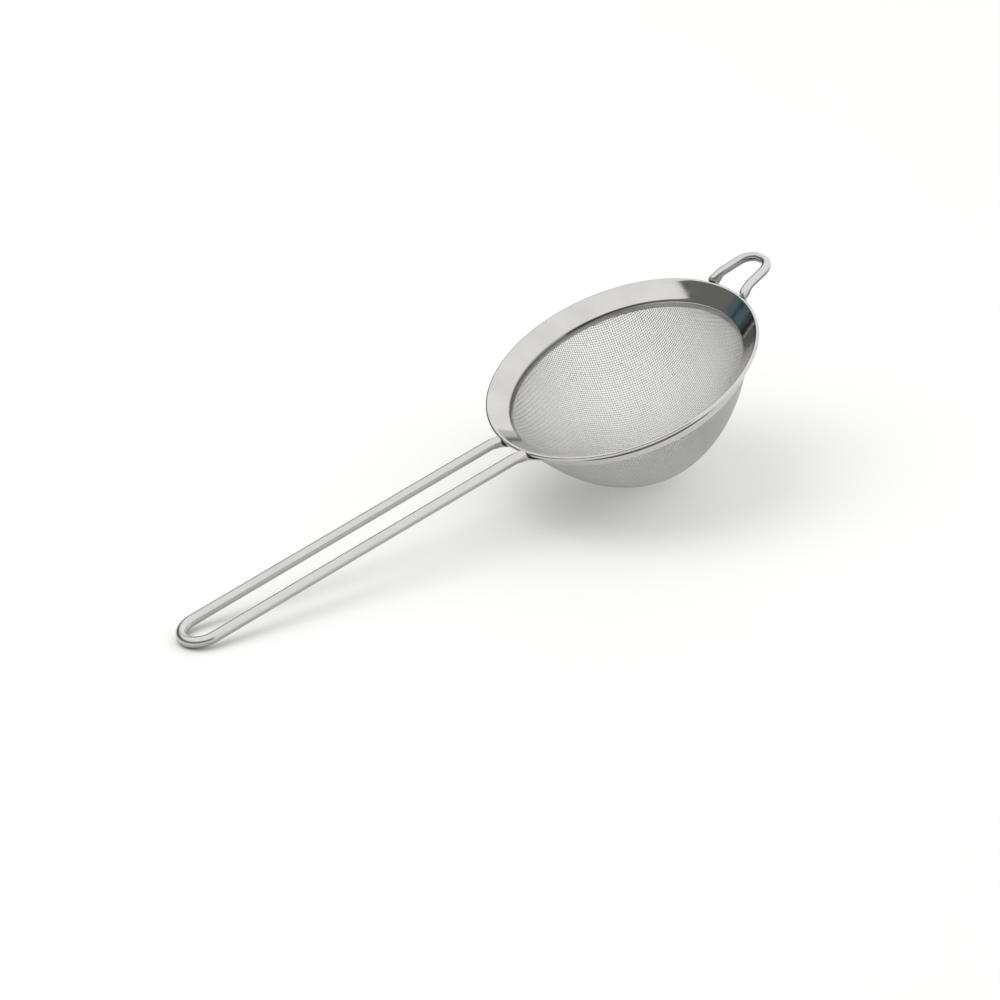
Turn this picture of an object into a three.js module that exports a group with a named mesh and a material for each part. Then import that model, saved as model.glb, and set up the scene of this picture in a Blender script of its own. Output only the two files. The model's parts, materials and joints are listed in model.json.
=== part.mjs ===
// A tea strainer in stainless steel. A bowl of woven wire cloth hangs in a flared sheet rim.
// A long bent wire is the handle, and a short bent wire on the far side rests on a cup's edge.
// Millimetres, +Z up. It lies on a table, on the bottom of its bowl and the end of its handle.

import * as THREE from 'three';

// ---- driving dimensions ----

// rim: a sheet ring flared outwards, its outer edge rolled into a bead, its inner edge turned down
const rimRadius = 42.4;
const beadDiameter = 1.3;
const sheetThickness = 0.5;
const flareInnerRadius = 36.0;
const flareDepth = 3.7;
const foldInsideRadius = 1.4;
const lipHeight = 2.0;
const lipLean = THREE.MathUtils.degToRad(9);

// bowl of wire cloth, a closed skin of the cloth's thickness, as deep as bowlDepth below the bead
const clothThickness = 0.5;
const bowlDepth = 37.4;
const bowlBottomFullness = 2.08;
const bowlWallFullness = 1.2;

// ring that pinches the cloth's edge against the lip
const clampThickness = 0.5;
const clampHeight = 2.1;

// wires; heights are those of the centre line above the bead's centre, at the rim's edge
const handleWire = {
  diameter: 3.3, reach: 112.8, rimSpacing: 12.7, endSpacing: 12.7, endRadius: 6.35, height: 0.4, slope: 0.118,
};
const hookWire = {
  diameter: 2.8, reach: 14.1, rimSpacing: 15.2, endSpacing: 10.4, endRadius: 5.1, height: 1.2, slope: 0.03,
};

// the wires' ends, pressed flat to lie under the rim; on the shoulder a wire comes back to round
const pressedThickness = 1.1;
const pressedWidth = 4.6;
const shoulderLength = 4.5;
const shoulderFullness = 0.35;
const noseAngle = THREE.MathUtils.degToRad(50);
const noseSteps = 3;

// spot-weld nuggets between the wires' ends and the rim
const nuggetDiameter = 2.4;

// clearance left between pieces that touch
const seamGap = 0.3;

// fineness of the round shapes
const turns = 48;
const wireSides = 16;
const bendStep = THREE.MathUtils.degToRad(15);
const shoulderSteps = 6;
const bowlRows = 12;

// ---- values that follow ----

const beadRadius = beadDiameter / 2;
const beadCentreRadius = rimRadius - beadRadius;
const lipBottomDepth = flareDepth + lipHeight;

// The flare's upper face runs from the fold's corner up to the bead and touches the bead's top.
const flareRun = beadCentreRadius - flareInnerRadius;
const flareAngle = Math.atan2(flareDepth, flareRun)
  + Math.asin(beadRadius / Math.hypot(flareRun, flareDepth));

// How far outside the lip's inner face each layer of the hem begins.
const clothInside = sheetThickness + seamGap;
const clampInside = clothInside + clothThickness + seamGap;
const clampOutside = clampInside + clampThickness;

// The pressed ends lie along the flare's underside and pass below the bead, which stands out there.
const wireToBead = beadRadius + seamGap;
const wireBelowFlare = wireToBead + beadRadius;
const nuggetThickness = beadDiameter - sheetThickness - seamGap;

// Height of a face parallel to the flare's upper face, a given way below it.
function flareHeight(radius, below) {
  return -flareDepth + (radius - flareInnerRadius) * Math.tan(flareAngle) - below / Math.cos(flareAngle);
}

// Radius of a face parallel to the lip's inner face, a given way outside it.
function hemRadius(depth, outside) {
  return flareInnerRadius - (depth - flareDepth) * Math.tan(lipLean) + outside / Math.cos(lipLean);
}

const hemTopDepth = seamGap - flareHeight(hemRadius(flareDepth, clothInside), sheetThickness);
const clampOuterRadius = hemRadius(hemTopDepth, clampOutside);

// ---- shapes ----

function steelPiece(name, geometry, color, roughness) {
  const mesh = new THREE.Mesh(geometry, new THREE.MeshStandardMaterial({ color, roughness, metalness: 1 }));
  mesh.name = name;
  return mesh;
}

// Turns an outline of [radius, height] points about +Z.
function turned(outline) {
  const profile = outline.map(([radius, height]) => new THREE.Vector2(radius, height));
  const geometry = new THREE.LatheGeometry(profile, turns);
  geometry.rotateX(Math.PI / 2);
  return geometry;
}

// Points of an arc about [x, y], both ends included.
function arcPoints([x, y], radius, from, to, step) {
  const steps = Math.ceil(Math.abs(to - from) / step);
  const points = [];
  for (let i = 0; i <= steps; i += 1) {
    const angle = from + ((to - from) * i) / steps;
    points.push([x + radius * Math.cos(angle), y + radius * Math.sin(angle)]);
  }
  return points;
}

function rimBandShape() {
  // The fold's arcs touch the flare and the lip, and share one centre.
  const foldRadius = foldInsideRadius + sheetThickness;
  const foldTurn = Math.PI / 2 - flareAngle - lipLean;
  const touch = foldRadius * Math.tan(foldTurn / 2);
  const foldCentre = [
    flareInnerRadius + touch * Math.cos(flareAngle) + foldRadius * Math.sin(flareAngle),
    -flareDepth + touch * Math.sin(flareAngle) - foldRadius * Math.cos(flareAngle),
  ];
  const atFlare = Math.PI / 2 + flareAngle;
  const atLip = Math.PI - lipLean;
  // The bead goes round the outside, from the flare's upper face back to its underside.
  const atUnderside = atFlare + Math.acos((beadRadius - sheetThickness) / beadRadius) - 2 * Math.PI;
  const outline = [
    [hemRadius(lipBottomDepth, 0), -lipBottomDepth],
    [hemRadius(lipBottomDepth, sheetThickness), -lipBottomDepth],
    ...arcPoints(foldCentre, foldInsideRadius, atLip, atFlare, 2 * bendStep),
    ...arcPoints([beadCentreRadius, 0], beadRadius, atUnderside, atFlare, 2 * bendStep),
    ...arcPoints(foldCentre, foldRadius, atFlare, atLip, bendStep),
  ];
  outline.push(outline[0]);
  return turned(outline);
}

// Half the bowl's section, from its bottom up to the hem: a rounded cone.
function bowlSection(topRadius, depth) {
  const points = [];
  for (let i = bowlRows; i >= 0; i -= 1) {
    const angle = (Math.PI / 2) * (i / bowlRows);
    const across = i === bowlRows ? 0 : Math.cos(angle) ** (2 / bowlBottomFullness);
    const down = Math.sin(angle) ** (2 / bowlWallFullness);
    points.push([topRadius * across, -lipBottomDepth - (depth - lipBottomDepth) * down]);
  }
  return points;
}

function basketShape() {
  const clothOutside = clothInside + clothThickness;
  const outer = bowlSection(hemRadius(lipBottomDepth, clothOutside), bowlDepth);
  const inner = bowlSection(hemRadius(lipBottomDepth, clothInside), bowlDepth - clothThickness);
  const flange = [
    [hemRadius(hemTopDepth, clothOutside), -hemTopDepth],
    [hemRadius(hemTopDepth, clothInside), -hemTopDepth],
  ];
  return turned([...outer, ...flange, ...inner.reverse()]);
}

function clampRingShape() {
  const bottomDepth = hemTopDepth + clampHeight;
  const outline = [
    [hemRadius(bottomDepth, clampInside), -bottomDepth],
    [hemRadius(bottomDepth, clampOutside), -bottomDepth],
    [hemRadius(hemTopDepth, clampOutside), -hemTopDepth],
    [hemRadius(hemTopDepth, clampInside), -hemTopDepth],
  ];
  outline.push(outline[0]);
  return turned(outline);
}

// A closed skin over rings of points, from one end to the other.
function skinned(rings) {
  const sides = rings[0].length;
  const lastRing = (rings.length - 1) * sides;
  const index = [];
  for (let start = 0; start < lastRing; start += sides) {
    for (let k = 0; k < sides; k += 1) {
      const next = (k + 1) % sides;
      index.push(start + k, start + next, start + sides + next);
      index.push(start + k, start + sides + next, start + sides + k);
    }
  }
  for (let k = 1; k < sides - 1; k += 1) {
    index.push(0, k + 1, k);
    index.push(lastRing, lastRing + k, lastRing + k + 1);
  }
  const geometry = new THREE.BufferGeometry().setFromPoints(rings.flat());
  geometry.setIndex(index);
  geometry.computeVertexNormals();
  return geometry;
}

// [across, upward] round a wire's section, flat side down.
const sectionPoints = Array.from({ length: wireSides }, (_, i) => {
  const angle = (2 * Math.PI * (i + 0.5)) / wireSides;
  return [Math.cos(angle), Math.sin(angle)];
});

// A round ring square to a wire that runs in a given direction.
function roundRing(middle, direction, radius) {
  const sideways = new THREE.Vector3(0, 0, 1).cross(direction).setLength(radius);
  const upwards = direction.clone().cross(sideways).setLength(radius);
  return sectionPoints.map(([across, upward]) => (
    middle.clone().addScaledVector(sideways, across).addScaledVector(upwards, upward)
  ));
}

// Rings along straight stretches between corners, each corner rounded to its radius.
function bentRings(corners, wireRadius) {
  const first = corners[0].at;
  const last = corners[corners.length - 1].at;
  const rings = [roundRing(first, corners[1].at.clone().sub(first).normalize(), wireRadius)];
  for (let i = 1; i < corners.length - 1; i += 1) {
    const { at, radius } = corners[i];
    const back = corners[i - 1].at.clone().sub(at).normalize();
    const onward = corners[i + 1].at.clone().sub(at).normalize();
    const bend = Math.PI - back.angleTo(onward);
    const touch = radius * Math.tan(bend / 2);
    const centre = back.clone().add(onward).normalize().multiplyScalar(radius / Math.cos(bend / 2)).add(at);
    const from = back.clone().multiplyScalar(touch).add(at).sub(centre);
    const to = onward.clone().multiplyScalar(touch).add(at).sub(centre);
    const axis = from.clone().cross(to).normalize();
    const steps = Math.ceil(bend / bendStep);
    for (let j = 0; j <= steps; j += 1) {
      const spoke = from.clone().applyAxisAngle(axis, (bend * j) / steps);
      const direction = axis.clone().cross(spoke).normalize();
      rings.push(roundRing(spoke.add(centre), direction, wireRadius));
    }
  }
  rings.push(roundRing(last, last.clone().sub(corners[corners.length - 2].at).normalize(), wireRadius));
  return rings;
}

// Where one leg of a wire runs in plan, for the leg at +Y: it crosses the bead and goes on to its end corner.
function legLine(wire) {
  const halfSpacing = wire.rimSpacing / 2;
  const crossing = new THREE.Vector2(Math.sqrt(beadCentreRadius ** 2 - halfSpacing ** 2), halfSpacing);
  const end = new THREE.Vector2(rimRadius + wire.reach, wire.endSpacing / 2);
  const onward = end.clone().sub(crossing).normalize();
  const sideways = new THREE.Vector2(-onward.y, onward.x);
  return { crossing, end, onward, sideways };
}

// A point of a leg: [out, height] from the bead's centre, out being straight away from the bowl's axis,
// and how far to the leg's side.
function legPlace(wire, [out, height], aside = 0) {
  const { crossing, onward, sideways } = legLine(wire);
  const offset = crossing.dot(sideways) + aside;
  const along = Math.sqrt((beadCentreRadius + out) ** 2 - offset ** 2);
  const plan = onward.clone().multiplyScalar(along).addScaledVector(sideways, offset);
  return new THREE.Vector3(plan.x, plan.y, height);
}

function legHeight(wire, along) {
  return wire.height + wire.slope * (along - beadRadius);
}

// The pressed end of the leg at +Y, from its tip out to the round wire.
function pressedRings(wire) {
  const { sideways } = legLine(wire);
  // A ring lies between a point of its top and a point of its bottom. Near the rim it keeps to the rim's
  // curve, and where its share is 1 it is square to the leg.
  const between = (top, bottom, halfWidth, share) => sectionPoints.map(([across, upward]) => {
    const spot = [0, 1].map((i) => THREE.MathUtils.lerp(bottom[i], top[i], (1 + upward) / 2));
    const square = legPlace(wire, spot);
    square.x += sideways.x * across * halfWidth;
    square.y += sideways.y * across * halfWidth;
    return legPlace(wire, spot, across * halfWidth).lerp(square, share);
  });

  // The tip stops short of the clamp ring.
  const tipRadius = clampOuterRadius + seamGap;
  const tip = [tipRadius - beadCentreRadius, flareHeight(tipRadius, wireBelowFlare)];
  const tipBottom = [
    tip[0] + pressedThickness * Math.sin(flareAngle),
    tip[1] - pressedThickness * Math.cos(flareAngle),
  ];
  const rings = [between(tip, tipBottom, pressedWidth / 2, 0)];

  // It turns up round the bead, back to the wire's own width, and the shoulder rises to the round leg.
  const wireRadius = wire.diameter / 2;
  const aboutBead = (radius, angle) => [radius * Math.cos(angle), radius * Math.sin(angle)];
  const underBead = flareAngle - Math.PI / 2;
  const firstBottom = aboutBead(wireToBead + pressedThickness, underBead);
  const nose = aboutBead(wireToBead, noseAngle);
  const noseBottom = 2 * wireToBead + seamGap;
  for (let i = 0; i < noseSteps; i += 1) {
    const share = i / noseSteps;
    const top = aboutBead(wireToBead, THREE.MathUtils.lerp(underBead, noseAngle, share));
    const bottom = [THREE.MathUtils.lerp(firstBottom[0], noseBottom, share), firstBottom[1]];
    rings.push(between(top, bottom, THREE.MathUtils.lerp(pressedWidth / 2, wireRadius, share), 0));
  }
  const legOut = nose[0] + shoulderLength;
  const legMiddle = legHeight(wire, legOut);
  for (let i = 0; i <= shoulderSteps; i += 1) {
    const share = (i / shoulderSteps) ** 2;
    const top = [
      THREE.MathUtils.lerp(nose[0], legOut, share),
      THREE.MathUtils.lerp(nose[1], legMiddle + wireRadius, share ** shoulderFullness),
    ];
    const bottom = [
      THREE.MathUtils.lerp(noseBottom, legOut, share),
      THREE.MathUtils.lerp(firstBottom[1], legMiddle - wireRadius, THREE.MathUtils.smoothstep(share, 0, 1)),
    ];
    rings.push(between(top, bottom, wireRadius, share));
  }
  return rings;
}

// Two legs with pressed ends, joined by the bends at the wire's outer end.
function wireShape(wire) {
  const { crossing, end } = legLine(wire);
  const mirrored = (point) => point.clone().setY(-point.y);
  const startOut = wireToBead + shoulderLength + seamGap;
  const legStart = legPlace(wire, [startOut, legHeight(wire, startOut)]);
  const legEnd = new THREE.Vector3(end.x, end.y, legHeight(wire, end.distanceTo(crossing)));
  const pressed = pressedRings(wire);
  const otherPressed = pressed.map((points) => points.map(mirrored)).reverse();
  return skinned([
    ...pressed,
    ...bentRings([
      { at: legStart },
      { at: legEnd, radius: wire.endRadius },
      { at: mirrored(legEnd), radius: wire.endRadius },
      { at: mirrored(legStart) },
    ], wire.diameter / 2),
    ...otherPressed,
  ]);
}

// Nuggets sit between the flare's underside and the wire's pressed end.
function nugget(name, wire, side) {
  const radius = clampOuterRadius + 2 * seamGap + (nuggetDiameter / 2) * Math.cos(flareAngle);
  const plan = legPlace(wire, [radius - beadCentreRadius, 0]);
  const bearing = Math.atan2(side * plan.y, plan.x);
  const up = new THREE.Vector3(
    -Math.sin(flareAngle) * Math.cos(bearing),
    -Math.sin(flareAngle) * Math.sin(bearing),
    Math.cos(flareAngle),
  );
  const mesh = steelPiece(name, new THREE.SphereGeometry(0.5, 12, 8), 0x9a948c, 0.5);
  mesh.geometry.rotateX(Math.PI / 2);
  mesh.geometry.scale(nuggetDiameter, nuggetDiameter, nuggetThickness);
  mesh.quaternion.setFromUnitVectors(new THREE.Vector3(0, 0, 1), up);
  const below = sheetThickness + seamGap + nuggetThickness / 2;
  mesh.position.set(plan.x, side * plan.y, flareHeight(radius, below));
  return mesh;
}

// ---- assembly, about the bowl's axis: the rest hook towards +X, the handle towards -X ----

const rimBand = steelPiece('rim_band', rimBandShape(), 0xd8d8d4, 0.14);
const basket = steelPiece('mesh_basket', basketShape(), 0xbcbcb8, 0.4);
const clampRing = steelPiece('clamp_ring', clampRingShape(), 0xc6c6c2, 0.28);
const handle = steelPiece('handle_wire', wireShape(handleWire), 0xd0d0cc, 0.22);
const hook = steelPiece('rest_hook_wire', wireShape(hookWire), 0xd0d0cc, 0.22);

const handleSide = new THREE.Group();
handleSide.rotation.z = Math.PI;
handleSide.add(handle);
handleSide.add(nugget('handle_weld_left', handleWire, 1));
handleSide.add(nugget('handle_weld_right', handleWire, -1));

const hookSide = new THREE.Group();
hookSide.add(hook);
hookSide.add(nugget('hook_weld_left', hookWire, 1));
hookSide.add(nugget('hook_weld_right', hookWire, -1));

const assembly = new THREE.Group();
assembly.add(rimBand, basket, clampRing, handleSide, hookSide);

// Lowest point of a mesh with the assembly tilted about Y, its handle's end down.
function lowestPoint(mesh, tilt) {
  assembly.rotation.y = -tilt;
  assembly.updateMatrixWorld(true);
  return new THREE.Box3().setFromObject(mesh, true).min.z;
}

// The tilt at which the bowl's bottom and the handle's end are level.
let [flatter, steeper] = [0, Math.PI / 4];
for (let i = 0; i < 40; i += 1) {
  const tilt = (flatter + steeper) / 2;
  if (lowestPoint(handle, tilt) > lowestPoint(basket, tilt)) flatter = tilt;
  else steeper = tilt;
}
assembly.rotation.y = -flatter;
assembly.updateMatrixWorld(true);

// The origin is under the middle of the whole, at the table.
const extent = new THREE.Box3().setFromObject(assembly, true);
const middle = extent.getCenter(new THREE.Vector3());
assembly.position.set(-middle.x, -middle.y, -extent.min.z);

const strainer = new THREE.Group();
strainer.add(assembly);

export default strainer;
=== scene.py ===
import json
import math
import bpy
import numpy as np
from mathutils import Matrix, Vector


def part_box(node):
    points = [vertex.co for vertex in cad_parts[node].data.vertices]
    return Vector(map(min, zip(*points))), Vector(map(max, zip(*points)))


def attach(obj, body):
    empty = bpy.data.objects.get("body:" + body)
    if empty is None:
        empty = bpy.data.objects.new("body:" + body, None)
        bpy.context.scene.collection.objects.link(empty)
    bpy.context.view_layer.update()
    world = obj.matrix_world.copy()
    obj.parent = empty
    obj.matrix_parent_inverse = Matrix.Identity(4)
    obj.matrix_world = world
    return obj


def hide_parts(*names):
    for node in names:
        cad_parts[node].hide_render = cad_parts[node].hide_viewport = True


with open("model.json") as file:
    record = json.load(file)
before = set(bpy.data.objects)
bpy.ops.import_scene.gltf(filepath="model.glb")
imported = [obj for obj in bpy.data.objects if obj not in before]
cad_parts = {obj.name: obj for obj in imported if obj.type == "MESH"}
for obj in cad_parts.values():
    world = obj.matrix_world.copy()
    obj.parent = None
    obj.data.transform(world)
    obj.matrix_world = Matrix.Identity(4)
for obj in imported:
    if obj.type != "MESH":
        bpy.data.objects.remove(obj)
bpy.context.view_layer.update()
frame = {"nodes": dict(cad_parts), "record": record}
mm = 0.001
print("frame loaded,", len(frame["nodes"]), "nodes")

# where the bowl sits: its axis from the hem's flat lower edge, its centre from the rim's box
rim = dict(radius=42.4 * mm, bead=1.3 * mm, sheet=0.5 * mm, flareInner=36.0 * mm, flareDepth=3.7 * mm,
           foldInside=1.4 * mm, lipHeight=2.0 * mm, lipLean=math.radians(9), dish=0.05 * mm, turns=288)
bowl = dict(depth=37.4 * mm, cloth=0.5 * mm, bottomFullness=2.08, wallFullness=1.2)
hem = dict(gap=0.3 * mm, clampThickness=0.5 * mm, clampHeight=2.1 * mm, clampCorner=0.12 * mm)

beadRadius = rim["bead"] / 2
beadCentre = rim["radius"] - beadRadius
lipBottom = rim["flareDepth"] + rim["lipHeight"]
flareRun = beadCentre - rim["flareInner"]
flareSlant = math.hypot(flareRun, rim["flareDepth"])
flareAngle = math.atan2(rim["flareDepth"], flareRun) + math.asin(beadRadius / flareSlant)

bowlDown = Vector(next(m["axis"] for m in frame["record"]["mounts"] if m["name"] == "hem_seat")).normalized()
tilt = math.atan2(bowlDown.x, -bowlDown.z)
rimLow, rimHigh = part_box("rim_band")
rimCentre = Vector(((rimLow.x + rimHigh.x) / 2, 0, rimHigh.z - beadCentre * math.sin(tilt) - beadRadius))
toTable = Matrix.Translation(rimCentre) @ Matrix.Rotation(-tilt, 4, "Y")   # from the bowl's own axes


# ---- camera ----
view = dict(position=(-0.40966, -0.67618, 0.40418), azimuth=31.44, elevation=26.525, roll=-4.966, lens=109.11)


def makeCamera():
    azimuth, elevation, roll = (math.radians(view[k]) for k in ("azimuth", "elevation", "roll"))
    forward = Vector((math.sin(azimuth) * math.cos(elevation), math.cos(azimuth) * math.cos(elevation),
                      -math.sin(elevation)))
    turn = forward.to_track_quat("-Z", "Y").to_matrix().to_4x4() @ Matrix.Rotation(roll, 4, "Z")
    data = bpy.data.cameras.new("camera")
    data.lens = view["lens"]
    data.sensor_width = 36
    data.clip_start = 0.01
    camera = bpy.data.objects.new("camera", data)
    camera.matrix_world = Matrix.Translation(view["position"]) @ turn
    bpy.context.scene.collection.objects.link(camera)
    bpy.context.scene.camera = camera


makeCamera()
print("camera placed")


# ---- shader trees ----
class Value:                                    # one socket; arithmetic on it adds Math nodes
    def __init__(self, tree, socket):
        self.tree = tree
        self.socket = socket

    def combine(self, operation, *values):
        return self.tree.node("ShaderNodeMath", {"operation": operation}, dict(enumerate(values)))

    def apply(self, operation):
        return self.combine(operation, self)

    def __add__(self, other):
        return self.combine("ADD", self, other)

    def __sub__(self, other):
        return self.combine("SUBTRACT", self, other)

    def __mul__(self, other):
        return self.combine("MULTIPLY", self, other)

    def __truediv__(self, other):
        return self.combine("DIVIDE", self, other)

    def __rsub__(self, other):
        return self.combine("SUBTRACT", other, self)

    __radd__ = __add__
    __rmul__ = __mul__


class Tree:
    def __init__(self, owner):
        owner.use_nodes = True
        self.nodes = owner.node_tree.nodes
        self.links = owner.node_tree.links
        self.nodes.clear()

    def node(self, kind, settings=None, values=None, output=0):
        made = self.nodes.new(kind)
        for key, setting in (settings or {}).items():
            if key == "stops":
                ramp = made.color_ramp.elements
                while len(ramp) < len(setting):
                    ramp.new(0.5)
                for element, (position, colour) in zip(ramp, setting):
                    element.position = position
                    element.color = colour
            else:
                setattr(made, key, setting)
        for key, value in (values or {}).items():
            if isinstance(value, Value):
                self.links.new(value.socket, made.inputs[key])
            else:
                made.inputs[key].default_value = value
        return Value(self, made.outputs[output]) if made.outputs else None

    def mix(self, factor, first, second):       # two colours
        return self.node("ShaderNodeMix", {"data_type": "RGBA"}, {0: factor, 6: first, 7: second}, 2)

    def step(self, value, low, high):           # 0 below low, 1 above high, smooth between
        settings = {"interpolation_type": "SMOOTHSTEP"}
        return self.node("ShaderNodeMapRange", settings, {0: value, 1: low, 2: high})

    def objectPlace(self):
        return self.node("ShaderNodeTexCoord", None, None, 3)

    def surfaceNormal(self):
        return self.node("ShaderNodeNewGeometry", None, None, 1)

    def split(self, vector):
        parts = self.node("ShaderNodeSeparateXYZ", None, {0: vector})
        return [Value(self, parts.socket.node.outputs[i]) for i in range(3)]

    def join(self, x, y, z):
        return self.node("ShaderNodeCombineXYZ", None, {0: x, 1: y, 2: z})

    def vector(self, operation, first, second, output=0):
        return self.node("ShaderNodeVectorMath", {"operation": operation}, {0: first, 1: second}, output)

    def noise(self, vector, scale, detail=2.0, roughness=0.5):
        return self.node("ShaderNodeTexNoise", None,
                         {"Vector": vector, "Scale": scale, "Detail": detail, "Roughness": roughness})

    def bump(self, height, strength, distance):
        values = {"Height": height, "Strength": strength, "Distance": distance}
        return self.node("ShaderNodeBump", None, values)


def steelFinish(name, surface, colour=None):
    # surface gives what varies over the piece; a colour that is the same all over is set on the shader
    material = bpy.data.materials.new(name)
    tree = Tree(material)
    shader = tree.node("ShaderNodeBsdfPrincipled", None, {"Metallic": 1.0})
    inputs = shader.socket.node.inputs
    if colour:
        inputs["Base Color"].default_value = colour
    for socket, value in surface(tree).items():
        tree.links.new(value.socket, inputs[socket])
    tree.node("ShaderNodeOutputMaterial", None, {"Surface": shader})
    return material


def bowlCoordinates(tree):
    # object coordinates turned back to the bowl's own axes, origin in the middle of the rim
    moved = tree.vector("SUBTRACT", tree.objectPlace(), rimCentre)
    return tree.node("ShaderNodeMapping", {"vector_type": "POINT"},
                     {"Vector": moved, "Rotation": (0, tilt, 0)})


rimFinish = dict(darkTone=(0.60, 0.592, 0.575, 1), lightTone=(0.66, 0.652, 0.635, 1),
                 hazeScale=70, markScale=420, turningScale=5200, turningDepth=0.0016 * mm)
# painted shade: a dark tone in the rim's fold and down the lip, stronger on one side
foldShade = dict(tone=(0.07, 0.069, 0.067, 1), low=-4.0 * mm, high=-3.3 * mm, radius=37.1 * mm,
                  soft=0.3 * mm, shadeShare=0.38, moreShade=0.36, mostShadedSide=(-0.259, 0.966),
                  lipFoot=-5.4 * mm, lipTop=-4.2 * mm)
smudgeFinish = dict(tone=(0.42, 0.41, 0.395, 1), at=(-39 * mm, 6.4 * mm, 0), near=1.2 * mm, far=4.5 * mm,
                    share=0.5)


def rimSurface(tree):
    # spun and polished: hair lines round the rim, a little haze, faint finger marks, and painted shade in the
    # fold
    along = bowlCoordinates(tree)
    x, y, z = tree.split(along)
    radius = (x * x + y * y).apply("SQRT")
    across = (radius - z) * rimFinish["turningScale"]
    lines = tree.noise(tree.join(x / radius * 1.6, y / radius * 1.6, across), 1.0, 3.0, 0.65)
    haze = tree.noise(along, rimFinish["hazeScale"], 3.0, 0.55)
    marks = tree.noise(along, rimFinish["markScale"], 2.0, 0.5)
    tone = tree.mix(tree.step(haze, 0.35, 0.75), rimFinish["darkTone"], rimFinish["lightTone"])
    # painted shade in the fold and down the lip
    tone = tree.mix(foldShadeShare(tree, x, y, z, radius), tone, foldShade["tone"])
    tone = tree.mix(smudgeShare(tree, x, y, marks), tone, smudgeFinish["tone"])
    roughness = 0.06 + tree.step(haze, 0.4, 0.8) * 0.05 + tree.step(marks, 0.55, 0.8) * 0.03 + lines * 0.05
    return {"Base Color": tone, "Roughness": roughness,
            "Normal": tree.bump(lines, 0.35, rimFinish["turningDepth"])}


def foldShadeShare(tree, x, y, z, radius):
    # painted shade in the fold and down the lip, deeper on one side than on the other
    edge, soft = foldShade["radius"], foldShade["soft"]
    low = 1 - tree.step(z, foldShade["low"], foldShade["high"])
    inside = 1 - tree.step(radius, edge - soft, edge + soft)
    sideX, sideY = foldShade["mostShadedSide"]
    side = tree.step((x * sideX + y * sideY) / radius, 0.3, 0.7)
    upper = tree.step(z, foldShade["lipFoot"], foldShade["lipTop"])
    return low * inside * (foldShade["shadeShare"] + side * foldShade["moreShade"]) * (upper * 0.55 + 0.45)


def smudgeShare(tree, x, y, marks):
    # faint smudges over the handle's two welds
    fromWeld = tree.vector("DISTANCE", tree.join(x, y.apply("ABSOLUTE"), 0.0), smudgeFinish["at"], 1)
    beyond = tree.step(fromWeld, smudgeFinish["near"], smudgeFinish["far"])
    return (1 - beyond) * tree.step(marks, 0.38, 0.62) * smudgeFinish["share"]


clampFinish = dict(tone=(0.55, 0.54, 0.52, 1), brushingScale=9000, brushingDepth=0.003 * mm)


def clampSurface(tree):
    # brushed round the ring
    x, y, z = tree.split(bowlCoordinates(tree))
    lines = tree.noise(tree.join(x * 40, y * 40, z * clampFinish["brushingScale"]), 1.0, 2.0, 0.6)
    return {"Roughness": 0.16 + lines * 0.2, "Normal": tree.bump(lines, 0.4, clampFinish["brushingDepth"])}


# the outside tone and its share are painted shade on the cloth's outside
clothFinish = dict(darkTone=(0.74, 0.735, 0.72, 1), lightTone=(0.84, 0.835, 0.82, 1), patchScale=55,
                   outsideShadeTone=(0.30, 0.298, 0.29, 1), outsideShadeShare=0.44, middleDepth=8 * mm)
bowlMiddle = toTable @ Vector((0, 0, -clothFinish["middleDepth"]))


def clothSurface(tree):
    # drawn wires that differ a little from one to the next, in soft patches, with painted shade on the
    # outside of the bowl
    tone = tree.node("ShaderNodeAttribute", {"attribute_name": "wireTone"}, None, 2)
    place = tree.objectPlace()
    patches = tree.noise(place, clothFinish["patchScale"], 3.0, 0.6)
    colour = tree.mix(tone * 0.6 + tree.step(patches, 0.35, 0.7) * 0.4,
                      clothFinish["darkTone"], clothFinish["lightTone"])
    outward = tree.vector("SUBTRACT", place, bowlMiddle)
    facing = tree.vector("DOT_PRODUCT", tree.surfaceNormal(), outward, 1)
    # painted shade where the cloth faces out of the bowl
    outside = tree.step(facing, -4 * mm, 8 * mm)
    colour = tree.mix(outside * clothFinish["outsideShadeShare"], colour, clothFinish["outsideShadeTone"])
    return {"Base Color": colour, "Roughness": 0.32 + patches * 0.12}


# the under tone and its shares are painted shade on the wire's downward faces
wireFinish = dict(darkTone=(0.60, 0.593, 0.58, 1), lightTone=(0.67, 0.663, 0.65, 1),
                  streakScale=60, scuffScale=900, hazeScale=90, grainDepth=0.006 * mm,
                  underShadeTone=(0.14, 0.139, 0.135, 1), underShadeShare=0.46, restUnderShadeShare=0.85,
                  restFrom=80 * mm, restTo=92 * mm)


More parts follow.
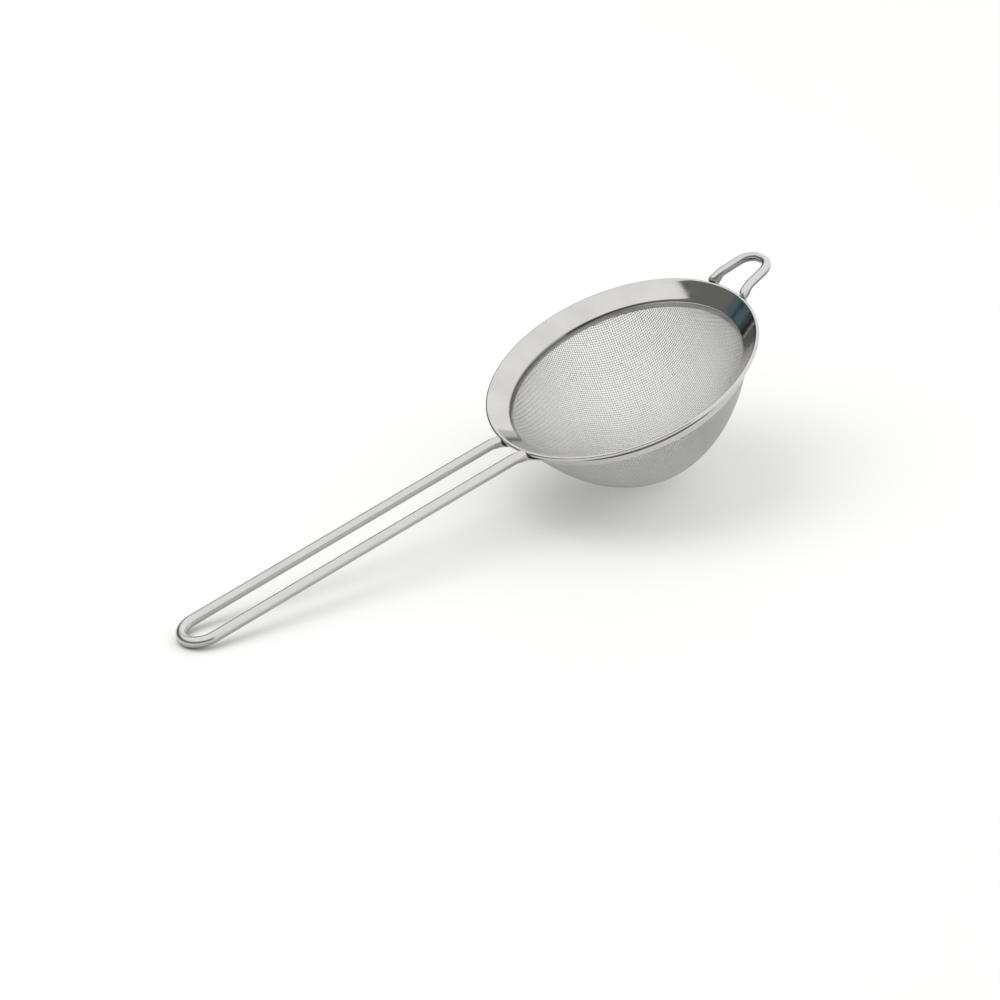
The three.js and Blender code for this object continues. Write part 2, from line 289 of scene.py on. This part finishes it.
def wireSurface(tree):
    # drawn wire: long streaks along it, faint scuffs across, painted shade underneath, most of all on the
    # rest
    u, v, _ = tree.split(tree.node("ShaderNodeTexCoord", None, None, 2))
    turn = v * 6.28318
    section = tree.join(u * wireFinish["streakScale"], turn.apply("SINE") * 9, turn.apply("COSINE") * 9)
    streaks = tree.noise(section, 1.0, 3.0, 0.6)
    place = tree.objectPlace()
    scuffs = tree.noise(place, wireFinish["scuffScale"], 3.0, 0.7)
    haze = tree.noise(place, wireFinish["hazeScale"], 2.0, 0.5)
    # painted shade on the wire's underside, deeper on the rest
    under = 1 - tree.step(tree.split(tree.surfaceNormal())[2], -0.1, 0.35)
    onRest = tree.step(tree.split(place)[0], wireFinish["restFrom"], wireFinish["restTo"])
    shadeShare = wireFinish["underShadeShare"] + onRest * (wireFinish["restUnderShadeShare"] - wireFinish["underShadeShare"])
    tone = tree.mix(haze, wireFinish["darkTone"], wireFinish["lightTone"])
    tone = tree.mix(under * shadeShare, tone, wireFinish["underShadeTone"])
    roughness = 0.17 + streaks * 0.12 + tree.step(scuffs, 0.62, 0.8) * 0.12
    return {"Base Color": tone, "Roughness": roughness,
            "Normal": tree.bump(streaks * 0.7 + scuffs * 0.3, 0.3, wireFinish["grainDepth"])}


weldFinish = dict(straw=(0.42, 0.37, 0.28, 1), brown=(0.36, 0.27, 0.22, 1), blue=(0.20, 0.23, 0.32, 1),
                  heatScale=1600, grainScale=5200, grainDepth=0.03 * mm)


def weldSurface(tree):
    # heat tint from straw to blue, over a rough cast skin
    place = tree.objectPlace()
    heat = tree.noise(place, weldFinish["heatScale"], 2.0, 0.5)
    stops = [(0.3, weldFinish["straw"]), (0.5, weldFinish["brown"]), (0.7, weldFinish["blue"])]
    tint = tree.node("ShaderNodeValToRGB", {"stops": stops}, {0: heat})
    grain = tree.noise(place, weldFinish["grainScale"], 3.0, 0.6)
    return {"Base Color": tint, "Roughness": 0.32 + grain * 0.3,
            "Normal": tree.bump(grain, 0.6, weldFinish["grainDepth"])}


materials = {
    "rim": steelFinish("polishedRim", rimSurface),
    "clamp": steelFinish("satinClamp", clampSurface, clampFinish["tone"]),
    "cloth": steelFinish("wireCloth", clothSurface),
    "wire": steelFinish("drawnWire", wireSurface),
    "weld": steelFinish("heatTintedWeld", weldSurface),
}
print("finishes made")


# ---- meshes ----
def addPiece(name, points, faces, material, nodes, uvs=None):
    mesh = bpy.data.meshes.new(name)
    mesh.from_pydata([tuple(p) for p in points], [], faces)
    mesh.update()
    for polygon in mesh.polygons:
        polygon.use_smooth = True
    if uvs is not None:
        layer = mesh.uv_layers.new(name="along")
        layer.data.foreach_set("uv", np.asarray(uvs, float).ravel())
    mesh.materials.append(material)
    piece = bpy.data.objects.new(name, mesh)
    bpy.context.scene.collection.objects.link(piece)
    settle(piece, nodes)
    return piece


def settle(piece, nodes):
    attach(piece, "root")
    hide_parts(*nodes)


def onTable(points):                            # from the bowl's own axes to the table's
    turn = np.array(toTable)
    return np.asarray(points) @ turn[:3, :3].T + turn[:3, 3]


def arc(centre, radius, start, end, step=math.radians(6)):
    count = max(2, math.ceil(abs(end - start) / step))
    angles = np.linspace(start, end, count + 1)
    return [(centre[0] + radius * math.cos(a), centre[1] + radius * math.sin(a)) for a in angles]


def turned(outline, turns):
    # a closed outline of (radius, height), counter-clockwise, turned about the bowl's axis
    outline = np.array(outline)
    angles = np.linspace(0, 2 * np.pi, turns, endpoint=False)
    points = np.stack([np.outer(np.cos(angles), outline[:, 0]), np.outer(np.sin(angles), outline[:, 0]),
                       np.tile(outline[:, 1], (turns, 1))], 2).reshape(-1, 3)
    rows = len(outline)
    faces = []
    for i in range(turns):
        here, onward = i * rows, ((i + 1) % turns) * rows
        for j in range(rows):
            k = (j + 1) % rows
            faces.append((here + j, onward + j, onward + k, here + k))
    return onTable(points), faces


def flareHeight(radius, below):
    rise = (radius - rim["flareInner"]) * math.tan(flareAngle)
    return -rim["flareDepth"] + rise - below / math.cos(flareAngle)


def hemRadius(depth, outside):
    lean = rim["lipLean"]
    return rim["flareInner"] - (depth - rim["flareDepth"]) * math.tan(lean) + outside / math.cos(lean)


clothInside = rim["sheet"] + hem["gap"]
clampInside = clothInside + bowl["cloth"] + hem["gap"]
clampOutside = clampInside + hem["clampThickness"]
hemTop = hem["gap"] - flareHeight(hemRadius(rim["flareDepth"], clothInside), rim["sheet"])
clampOuterRadius = hemRadius(hemTop, clampOutside)


def rimOutline():
    # lip with a small curl at its foot, fold, flare, and the bead rolled down and under
    foldRadius = rim["foldInside"] + rim["sheet"]
    touch = foldRadius * math.tan((math.pi / 2 - flareAngle - rim["lipLean"]) / 2)
    fold = (rim["flareInner"] + touch * math.cos(flareAngle) + foldRadius * math.sin(flareAngle),
            -rim["flareDepth"] + touch * math.sin(flareAngle) - foldRadius * math.cos(flareAngle))
    atFlare = math.pi / 2 + flareAngle
    atLip = math.pi - rim["lipLean"]
    atUnderside = atFlare + math.acos((beadRadius - rim["sheet"]) / beadRadius) - 2 * math.pi
    half = rim["sheet"] / 2
    foot = (hemRadius(lipBottom - half, half), -lipBottom + half)
    inner = arc(fold, foldRadius, atFlare, atLip)
    rolled = arc((beadCentre, 0), beadRadius, atUnderside, atFlare)
    return [*arc(foot, half, math.pi - rim["lipLean"], 2 * math.pi - rim["lipLean"], math.radians(20)),
            *arc(fold, rim["foldInside"], atLip, atFlare, math.radians(12)),
            *rolled, *dished(rolled[-1], inner[0]), *inner]


def dished(outer, inner):
    # the flare's upper face sags a little between the bead and the fold
    spots = []
    for share in np.linspace(0, 1, 13)[1:-1]:
        sag = rim["dish"] * 4 * share * (1 - share)
        spots.append((outer[0] + (inner[0] - outer[0]) * share + sag * math.sin(flareAngle),
                      outer[1] + (inner[1] - outer[1]) * share - sag * math.cos(flareAngle)))
    return spots


def clampOutline():
    bottom = hemTop + hem["clampHeight"]
    corner = hem["clampCorner"]
    corners = [(bottom - corner, clampInside + corner, math.pi, 1.5 * math.pi),
               (bottom - corner, clampOutside - corner, 1.5 * math.pi, 2 * math.pi),
               (hemTop + corner, clampOutside - corner, 0, math.pi / 2),
               (hemTop + corner, clampInside + corner, math.pi / 2, math.pi)]
    outline = []
    for depth, outside, start, end in corners:
        outline += arc((hemRadius(depth, outside), -depth), corner, start, end, math.radians(22))
    return outline


def turnedPiece(name, outline, material, node):
    points, faces = turned(outline, rim["turns"])
    addPiece(name, points, faces, material, [node])


turnedPiece("rimBand", rimOutline(), materials["rim"], "rim_band")
turnedPiece("clampRing", clampOutline(), materials["clamp"], "clamp_ring")
print("rim turned")


# ---- wires ----
wire = dict(sides=36, bend=math.radians(5), stretch=2.5 * mm)
pressed = dict(thickness=1.1 * mm, width=4.6 * mm, shoulder=4.5 * mm, fullness=0.35, nose=math.radians(50),
               noseSteps=12, steps=24, tipRound=0.35 * mm)
handle = dict(diameter=3.3 * mm, reach=112.8 * mm, rimSpacing=12.7 * mm, endSpacing=12.7 * mm,
              endRadius=6.35 * mm, height=0.4 * mm, slope=0.118, side=-1)
rest = dict(diameter=2.8 * mm, reach=14.1 * mm, rimSpacing=15.2 * mm, endSpacing=10.4 * mm,
            endRadius=5.1 * mm, height=1.2 * mm, slope=0.03, side=1)
wireToBead = beadRadius + hem["gap"]
sectionAngles = np.linspace(0, 2 * math.pi, wire["sides"], endpoint=False)
sectionPoints = [(math.cos(a), math.sin(a)) for a in sectionAngles]


def legLine(shape):
    # where the leg at +Y runs in plan
    half = shape["rimSpacing"] / 2
    crossing = Vector((math.sqrt(beadCentre ** 2 - half ** 2), half))
    end = Vector((rim["radius"] + shape["reach"], shape["endSpacing"] / 2))
    onward = (end - crossing).normalized()
    return crossing, end, onward, Vector((-onward.y, onward.x))


def legPlace(shape, out, height, aside=0.0):
    crossing, _, onward, sideways = legLine(shape)
    offset = crossing.dot(sideways) + aside
    plan = onward * math.sqrt((beadCentre + out) ** 2 - offset ** 2) + sideways * offset
    return Vector((plan.x, plan.y, height))


def legHeight(shape, along):
    return shape["height"] + shape["slope"] * (along - beadRadius)


def blend(a, b, share):
    return a + (b - a) * share


def smooth(share):
    return share * share * (3 - 2 * share)


def pressedRings(shape):
    # from the rounded tip under the flare, round the bead, out to the round wire
    sideways = legLine(shape)[3]

    def between(top, bottom, halfWidth, share):
        ring = []
        for across, upward in sectionPoints:
            out, height = (blend(bottom[i], top[i], (1 + upward) / 2) for i in (0, 1))
            square = legPlace(shape, out, height) + Vector((*sideways, 0)) * (across * halfWidth)
            ring.append(legPlace(shape, out, height, across * halfWidth).lerp(square, share))
        return ring

    below = wireToBead + beadRadius
    tipRadius = clampOuterRadius + hem["gap"]
    down = Vector((math.sin(flareAngle), -math.cos(flareAngle)))

    def flatSpot(radius, depth):
        at = Vector((radius - beadCentre, flareHeight(radius, below)))
        return at + down * depth

    rings = []
    for share in (0.0, 0.12, 0.3, 0.55, 0.8, 1.0):      # the tip's rounded edge
        shrink = math.sqrt(max(0.0, 1 - (1 - share) ** 2)) * 0.92 + 0.08
        radius = tipRadius + pressed["tipRound"] * share
        middle = pressed["thickness"] / 2
        top = flatSpot(radius, middle - middle * shrink)
        bottom = flatSpot(radius, middle + middle * shrink)
        rings.append(between(top, bottom, pressed["width"] / 2 * (0.7 + 0.3 * shrink), 0))
    under = flareAngle - math.pi / 2
    wireRadius = shape["diameter"] / 2

    def aboutBead(radius, angle):
        return Vector((radius * math.cos(angle), radius * math.sin(angle)))

    firstBottom = aboutBead(wireToBead + pressed["thickness"], under)
    nose = aboutBead(wireToBead, pressed["nose"])
    noseBottom = 2 * wireToBead + hem["gap"]
    for share in np.linspace(0, 1, pressed["noseSteps"], endpoint=False):
        rings.append(between(aboutBead(wireToBead, blend(under, pressed["nose"], share)),
                             (blend(firstBottom.x, noseBottom, share), firstBottom.y),
                             blend(pressed["width"] / 2, wireRadius, share), 0))
    legOut = nose.x + pressed["shoulder"]
    legMiddle = legHeight(shape, legOut)
    for i in range(pressed["steps"] + 1):
        share = (i / pressed["steps"]) ** 2
        top = (blend(nose.x, legOut, share),
               blend(nose.y, legMiddle + wireRadius, share ** pressed["fullness"]))
        bottom = (blend(noseBottom, legOut, share),
                  blend(firstBottom.y, legMiddle - wireRadius, smooth(share)))
        rings.append(between(top, bottom, wireRadius, share))
    return rings


def roundRing(middle, direction, radius):
    sideways = Vector((0, 0, 1)).cross(direction).normalized()
    upwards = direction.cross(sideways)
    return [middle + (sideways * across + upwards * upward) * radius for across, upward in sectionPoints]


def bentRings(corners, wireRadius):
    # straight stretches between corners, each corner rounded to its radius
    places = [(corners[0][0], (corners[1][0] - corners[0][0]).normalized())]
    for i in range(1, len(corners) - 1):
        at, radius = corners[i]
        back = (corners[i - 1][0] - at).normalized()
        onward = (corners[i + 1][0] - at).normalized()
        bend = math.pi - back.angle(onward)
        centre = at + (back + onward).normalized() * (radius / math.cos(bend / 2))
        spoke = at + back * (radius * math.tan(bend / 2)) - centre
        axis = spoke.cross(at + onward * (radius * math.tan(bend / 2)) - centre).normalized()
        steps = math.ceil(bend / wire["bend"])
        for j in range(steps + 1):
            turnedSpoke = Matrix.Rotation(bend * j / steps, 3, axis) @ spoke
            places.append((centre + turnedSpoke, axis.cross(turnedSpoke).normalized()))
    places.append((corners[-1][0], (corners[-1][0] - corners[-2][0]).normalized()))
    rings = [roundRing(*places[0], wireRadius)]
    for (a, _), (b, direction) in zip(places, places[1:]):
        count = max(1, math.ceil((b - a).length / wire["stretch"]))
        rings += [roundRing(a.lerp(b, k / count), direction, wireRadius) for k in range(1, count + 1)]
    return rings


def skinned(rings):
    # quads between rings and a fan at each end, with how far along and how far round as UV
    sides = len(rings[0])
    middles = [sum(ring, Vector()) / sides for ring in rings]
    along = np.concatenate([[0], np.cumsum([(b - a).length for a, b in zip(middles, middles[1:])])])
    points = [p for ring in rings for p in ring] + [middles[0], middles[-1]]
    faces, uvs = [], []
    for i in range(len(rings) - 1):
        for k in range(sides):
            n, here, onward = (k + 1) % sides, i * sides, (i + 1) * sides
            faces.append((here + k, here + n, onward + n, onward + k))
            uvs += [(along[i], k / sides), (along[i], (k + 1) / sides),
                    (along[i + 1], (k + 1) / sides), (along[i + 1], k / sides)]
    last = (len(rings) - 1) * sides
    for k in range(sides):
        n = (k + 1) % sides
        faces += [(len(points) - 2, n, k), (len(points) - 1, last + k, last + n)]
        uvs += [(0, k / sides)] * 3 + [(along[-1], k / sides)] * 3
    return points, faces, uvs


def wirePiece(name, shape, node):
    crossing, end = legLine(shape)[:2]
    startOut = wireToBead + pressed["shoulder"] + hem["gap"]
    legStart = legPlace(shape, startOut, legHeight(shape, startOut))
    legEnd = Vector((end.x, end.y, legHeight(shape, (end - crossing).length)))
    mirror = Matrix.Diagonal((1, -1, 1))
    ends = pressedRings(shape)
    points, faces, uvs = skinned([
        *ends,
        *bentRings([(legStart, 0), (legEnd, shape["endRadius"]),
                    (mirror @ legEnd, shape["endRadius"]), (mirror @ legStart, 0)], shape["diameter"] / 2),
        *[[mirror @ p for p in ring] for ring in reversed(ends)],
    ])
    placed = onTable([(p.x * shape["side"], p.y * shape["side"], p.z) for p in points])
    return addPiece(name, placed, faces, materials["wire"], [node], uvs)


wirePiece("handleWire", handle, "handle_wire")
wirePiece("restHookWire", rest, "rest_hook_wire")
print("wires bent")


# ---- wire cloth ----
cloth = dict(pitch=0.72 * mm, diameter=0.25 * mm, sides=6, turn=math.radians(-27), seed=7)


def bowlProfile():
    # the middle of the cloth's thickness, from the bottom up: distance along it, radius, height
    top = hemRadius(lipBottom, clothInside + bowl["cloth"] / 2)
    deep = bowl["depth"] - bowl["cloth"] / 2 - lipBottom
    angle = np.linspace(np.pi / 2, 0, 1500)
    radius = top * np.cos(angle) ** (2 / bowl["bottomFullness"])
    height = -lipBottom - deep * np.sin(angle) ** (2 / bowl["wallFullness"])
    radius[0] = 0
    radius = np.append(radius, hemRadius(hemTop, clothInside + bowl["cloth"] / 2))     # up inside the hem
    height = np.append(height, -hemTop)
    along = np.concatenate([[0], np.cumsum(np.hypot(np.diff(radius), np.diff(height)))])
    return along, radius, height


def net(pitch):
    # one quarter of a cloth whose wires keep their spacing as it takes the bowl's shape
    along, radius, height = bowlProfile()
    slopeRadius = np.gradient(radius, along)
    slopeHeight = np.gradient(height, along)
    last = along[-1]

    def spot(s, t):
        r = np.interp(s, along, radius)
        return np.stack([r * np.cos(t), r * np.sin(t), np.interp(s, along, height)], -1)

    size = int(last / pitch * 1.25) + 3
    distance = np.full((size, size), np.nan)
    bearing = np.full((size, size), np.nan)
    distance[:, 0] = np.arange(size) * pitch
    distance[0, :] = distance[:, 0]
    bearing[:, 0] = 0
    bearing[0, :] = np.pi / 2
    for total in range(2, 2 * size - 1):
        i = np.arange(max(1, total - size + 1), min(size, total))
        j = total - i
        known = (distance[i - 1, j] < last) & (distance[i, j - 1] < last)
        i, j = i[known], j[known]
        if not len(i):
            continue
        a = spot(distance[i - 1, j], bearing[i - 1, j])
        b = spot(distance[i, j - 1], bearing[i, j - 1])
        c = spot(distance[i - 1, j - 1], bearing[i - 1, j - 1])
        guess = a + b - c
        s = distance[i - 1, j] + distance[i, j - 1] - distance[i - 1, j - 1]
        t = np.arctan2(guess[:, 1], guess[:, 0])
        for _ in range(12):
            p = spot(s, t)
            r = np.interp(s, along, radius)
            dr, dz = np.interp(s, along, slopeRadius), np.interp(s, along, slopeHeight)
            ds = np.stack([dr * np.cos(t), dr * np.sin(t), dz], -1)
            dt = np.stack([-r * np.sin(t), r * np.cos(t), np.zeros_like(r)], -1)
            f, g = ((p - a) ** 2).sum(1) - pitch ** 2, ((p - b) ** 2).sum(1) - pitch ** 2
            fs, ft = 2 * ((p - a) * ds).sum(1), 2 * ((p - a) * dt).sum(1)
            gs, gt = 2 * ((p - b) * ds).sum(1), 2 * ((p - b) * dt).sum(1)
            det = fs * gt - ft * gs
            det = np.where(abs(det) < 1e-18, 1e-18, det)
            s = s - np.clip((f * gt - g * ft) / det, -pitch, pitch)
            t = t - np.clip((fs * g - gs * f) / det, -0.2, 0.2)
        distance[i, j], bearing[i, j] = s, t
    normal = (along, slopeRadius, slopeHeight)
    return distance, bearing, spot, normal, last


def clothWires(drape, across, draws):
    # every wire that runs one way, as points with the way out and the side it passes on
    distance, bearing, spot, (along, slopeRadius, slopeHeight), last = drape
    size = len(distance)

    def at(i, j):                               # the quarter turned to all four quarters
        if i >= 0 and j >= 0:
            a, b, quarter = i, j, 0
        elif i < 0 and j >= 0:
            a, b, quarter = j, -i, 1
        elif i < 0:
            a, b, quarter = -i, -j, 2
        else:
            a, b, quarter = -j, i, 3
        if a >= size or b >= size:
            return None
        s, t = distance[a, b], bearing[a, b]
        return None if np.isnan(s) else (s, t + quarter * np.pi / 2)

    points, outward, side, tone, edges = [], [], [], [], []

    def put(s, t, which, shade):
        t = t + cloth["turn"]
        dr, dz = np.interp(s, along, slopeRadius), np.interp(s, along, slopeHeight)
        points.append(spot(s, t))
        outward.append((dz * math.cos(t), dz * math.sin(t), -dr))
        side.append(which)
        tone.append(shade)

    for j in range(-size, size + 1):
        shade = draws.random()
        for direction in (1, -1):
            steps = range(0, size) if direction == 1 else range(0, -size, -1)
            previous, first = None, True
            for i in steps:
                here = at(i, j) if across else at(j, i)
                if here is None:
                    break
                which = 1 if (i + j) % 2 == (0 if across else 1) else -1
                s, t = here
                if s > last:
                    if previous is not None:
                        share = (last - previous[0]) / (s - previous[0])
                        t = previous[1] + (t - previous[1]) * share
                        put(last, t, which * share, shade)
                        edges.append((len(points) - 2, len(points) - 1))
                    break
                put(s, t, which, shade)
                if not first:
                    edges.append((len(points) - 2, len(points) - 1))
                previous, first = (s, t), False
    return points, outward, side, tone, edges


def clothTree():
    # wires from paths: each point moved to its side of the cloth, then a round wire along the path
    tree = bpy.data.node_groups.new("clothWires", "GeometryNodeTree")
    face = tree.interface
    face.new_socket("Geometry", in_out="INPUT", socket_type="NodeSocketGeometry")
    for label, kind in (("Wire diameter", "NodeSocketFloat"), ("Sides", "NodeSocketInt"),
                        ("Finish", "NodeSocketMaterial")):
        face.new_socket(label, in_out="INPUT", socket_type=kind)
    face.new_socket("Geometry", in_out="OUTPUT", socket_type="NodeSocketGeometry")
    nodes, links = tree.nodes, tree.links
    given, made = nodes.new("NodeGroupInput"), nodes.new("NodeGroupOutput")

    def add(kind, settings=None, **values):
        node = nodes.new(kind)
        for key, value in (settings or {}).items():
            setattr(node, key, value)
        for key, value in values.items():
            socket = node.inputs[int(key[1:])]
            if hasattr(value, "is_output"):
                links.new(value, socket)
            else:
                socket.default_value = value
        return node

    outward = add("GeometryNodeInputNamedAttribute", {"data_type": "FLOAT_VECTOR"}, s0="outward")
    side = add("GeometryNodeInputNamedAttribute", {"data_type": "FLOAT"}, s0="side")
    half = add("ShaderNodeMath", {"operation": "MULTIPLY"}, s0=given.outputs["Wire diameter"], s1=0.5)
    shift = add("ShaderNodeMath", {"operation": "MULTIPLY"}, s0=half.outputs[0], s1=side.outputs["Attribute"])
    offset = add("ShaderNodeVectorMath", {"operation": "SCALE"}, s0=outward.outputs["Attribute"],
                 s3=shift.outputs[0])
    woven = add("GeometryNodeSetPosition", None, s0=given.outputs["Geometry"], s3=offset.outputs[0])
    path = add("GeometryNodeMeshToCurve", None, s0=woven.outputs[0])
    section = add("GeometryNodeCurvePrimitiveCircle", None, s0=given.outputs["Sides"], s4=half.outputs[0])
    swept = add("GeometryNodeCurveToMesh", None, s0=path.outputs[0], s1=section.outputs[0])
    swept.inputs["Fill Caps"].default_value = True
    smooth = add("GeometryNodeSetShadeSmooth", None, s0=swept.outputs[0])
    whole = add("GeometryNodeRealizeInstances", None, s0=smooth.outputs[0])
    finished = add("GeometryNodeSetMaterial", None, s0=whole.outputs[0])
    links.new(given.outputs["Finish"], finished.inputs["Material"])
    links.new(finished.outputs[0], made.inputs[0])
    return tree


def clothPiece(name, data, tree):
    points, outward, side, tone, edges = data
    mesh = bpy.data.meshes.new(name + "Paths")
    turn = np.array(toTable)[:3, :3]
    mesh.from_pydata([tuple(p) for p in onTable(points)], edges, [])
    for label, kind, values in (("outward", "FLOAT_VECTOR", np.array(outward) @ turn.T),
                                ("side", "FLOAT", np.array(side)), ("wireTone", "FLOAT", np.array(tone))):
        layer = mesh.attributes.new(label, kind, "POINT")
        layer.data.foreach_set("vector" if kind == "FLOAT_VECTOR" else "value", values.ravel())
    paths = bpy.data.objects.new(name + "Paths", mesh)
    bpy.context.scene.collection.objects.link(paths)
    modifier = paths.modifiers.new("weave", "NODES")
    modifier.node_group = tree
    sockets = {s.name: s.identifier for s in tree.interface.items_tree if s.in_out == "INPUT"}
    modifier[sockets["Wire diameter"]] = cloth["diameter"]
    modifier[sockets["Sides"]] = cloth["sides"]
    modifier[sockets["Finish"]] = materials["cloth"]
    evaluated = paths.evaluated_get(bpy.context.evaluated_depsgraph_get())
    result = bpy.data.meshes.new_from_object(evaluated)
    bpy.data.objects.remove(paths)
    piece = bpy.data.objects.new(name, result)
    bpy.context.scene.collection.objects.link(piece)
    settle(piece, ["mesh_basket"])
    print(" ", name, len(result.polygons), "faces")
    return piece


clothNet = net(cloth["pitch"])
wireTones = np.random.default_rng(cloth["seed"])
weave = clothTree()
clothPiece("clothWarp", clothWires(clothNet, True, wireTones), weave)
clothPiece("clothWeft", clothWires(clothNet, False, wireTones), weave)
print("cloth woven")

for weldName in ("handle_weld_left", "handle_weld_right", "hook_weld_left", "hook_weld_right"):
    nugget = frame["nodes"][weldName]
    nugget.data.materials.clear()
    nugget.data.materials.append(materials["weld"])
print("welds finished")


# ---- table and light ----
studio = dict(floor=(0.9, 0.9, 0.895), floorSize=6.0, dome=1.08, wallTop=32.8, lowWallTop=-4.0,
              overhead=(1, 0.998, 0.99, 1), room=(0.17, 0.17, 0.163, 1), roomEdge=(0.11, 0.11, 0.105, 1),
              glass=(0.085, 0.14, 0.155, 1), glassDark=(0.02, 0.03, 0.034, 1),
              doorway=(0.012, 0.014, 0.016, 1), doorEdge=(0.30, 0.32, 0.33, 1),
              key=9.5, keySize=1.6, keyAt=(-0.5, 0.5, 1.7))


def makeFloor():
    half = studio["floorSize"] / 2
    mesh = bpy.data.meshes.new("floor")
    corners = [(-half, -half, 0), (half, -half, 0), (half, half, 0), (-half, half, 0)]
    mesh.from_pydata(corners, [], [(0, 1, 2, 3)])
    material = bpy.data.materials.new("paleFloor")
    tree = Tree(material)
    shader = tree.node("ShaderNodeBsdfPrincipled", None,
                       {"Base Color": (*studio["floor"], 1), "Roughness": 0.75, "Specular IOR Level": 0.2})
    tree.node("ShaderNodeOutputMaterial", None, {"Surface": shader})
    mesh.materials.append(material)
    floor = bpy.data.objects.new("floor", mesh)
    bpy.context.scene.collection.objects.link(floor)


def makeSky():
    # an even soft light overhead; round it a darker room, lower on the right, with darker things in it
    world = bpy.data.worlds.new("studio")
    bpy.context.scene.world = world
    tree = Tree(world)
    x, y, z = tree.split(tree.node("ShaderNodeTexCoord", None, None, 0))
    bearing = y.combine("ARCTAN2", y, x) * (180 / math.pi)
    height = z.apply("ARCSINE") * (180 / math.pi)
    right = tree.step(x * 1.393 - y * 0.246, 0.25, 0.45)
    wallTop = studio["wallTop"] - right * (studio["wallTop"] - studio["lowWallTop"])
    wall = 1 - tree.step(height - wallTop, -0.4, 0.4)

    def sector(start, end, soft):
        past = tree.step(bearing, end - soft, end + soft)
        return tree.step(bearing, start - soft, start + soft) * (1 - past)

    room = tree.mix(tree.step(wallTop - height, 1.0, 3.0), studio["roomEdge"], studio["room"])
    things = tree.noise(tree.join(x, y, z), 9.0, 2.0, 0.5)
    glass = tree.mix(tree.step(things, 0.52, 0.60), studio["glass"], studio["glassDark"])
    for start, end, soft, tone in ((98, 119, 2.5, glass), (84, 98, 0.8, studio["doorway"]),
                                   (90.8, 92.8, 0.5, studio["doorEdge"])):
        room = tree.mix(sector(start, end, soft), room, tone)
    light = tree.mix(wall, studio["overhead"], room)
    shade = tree.node("ShaderNodeBackground", None, {"Color": light, "Strength": studio["dome"]})
    tree.node("ShaderNodeOutputWorld", None, {"Surface": shade})


def makeKey():
    # lights the table only; the metal keeps the even light of the sky
    data = bpy.data.lights.new("key", "AREA")
    data.shape = "DISK"
    data.size = studio["keySize"]
    data.energy = studio["key"]
    lamp = bpy.data.objects.new("key", data)
    lamp.location = studio["keyAt"]
    lamp.rotation_euler = (-Vector(studio["keyAt"])).to_track_quat("-Z", "Y").to_euler()
    lamp.visible_glossy = False
    bpy.context.scene.collection.objects.link(lamp)


makeFloor()
makeSky()
makeKey()
bpy.context.scene.view_settings.view_transform = "Standard"
print("studio set")
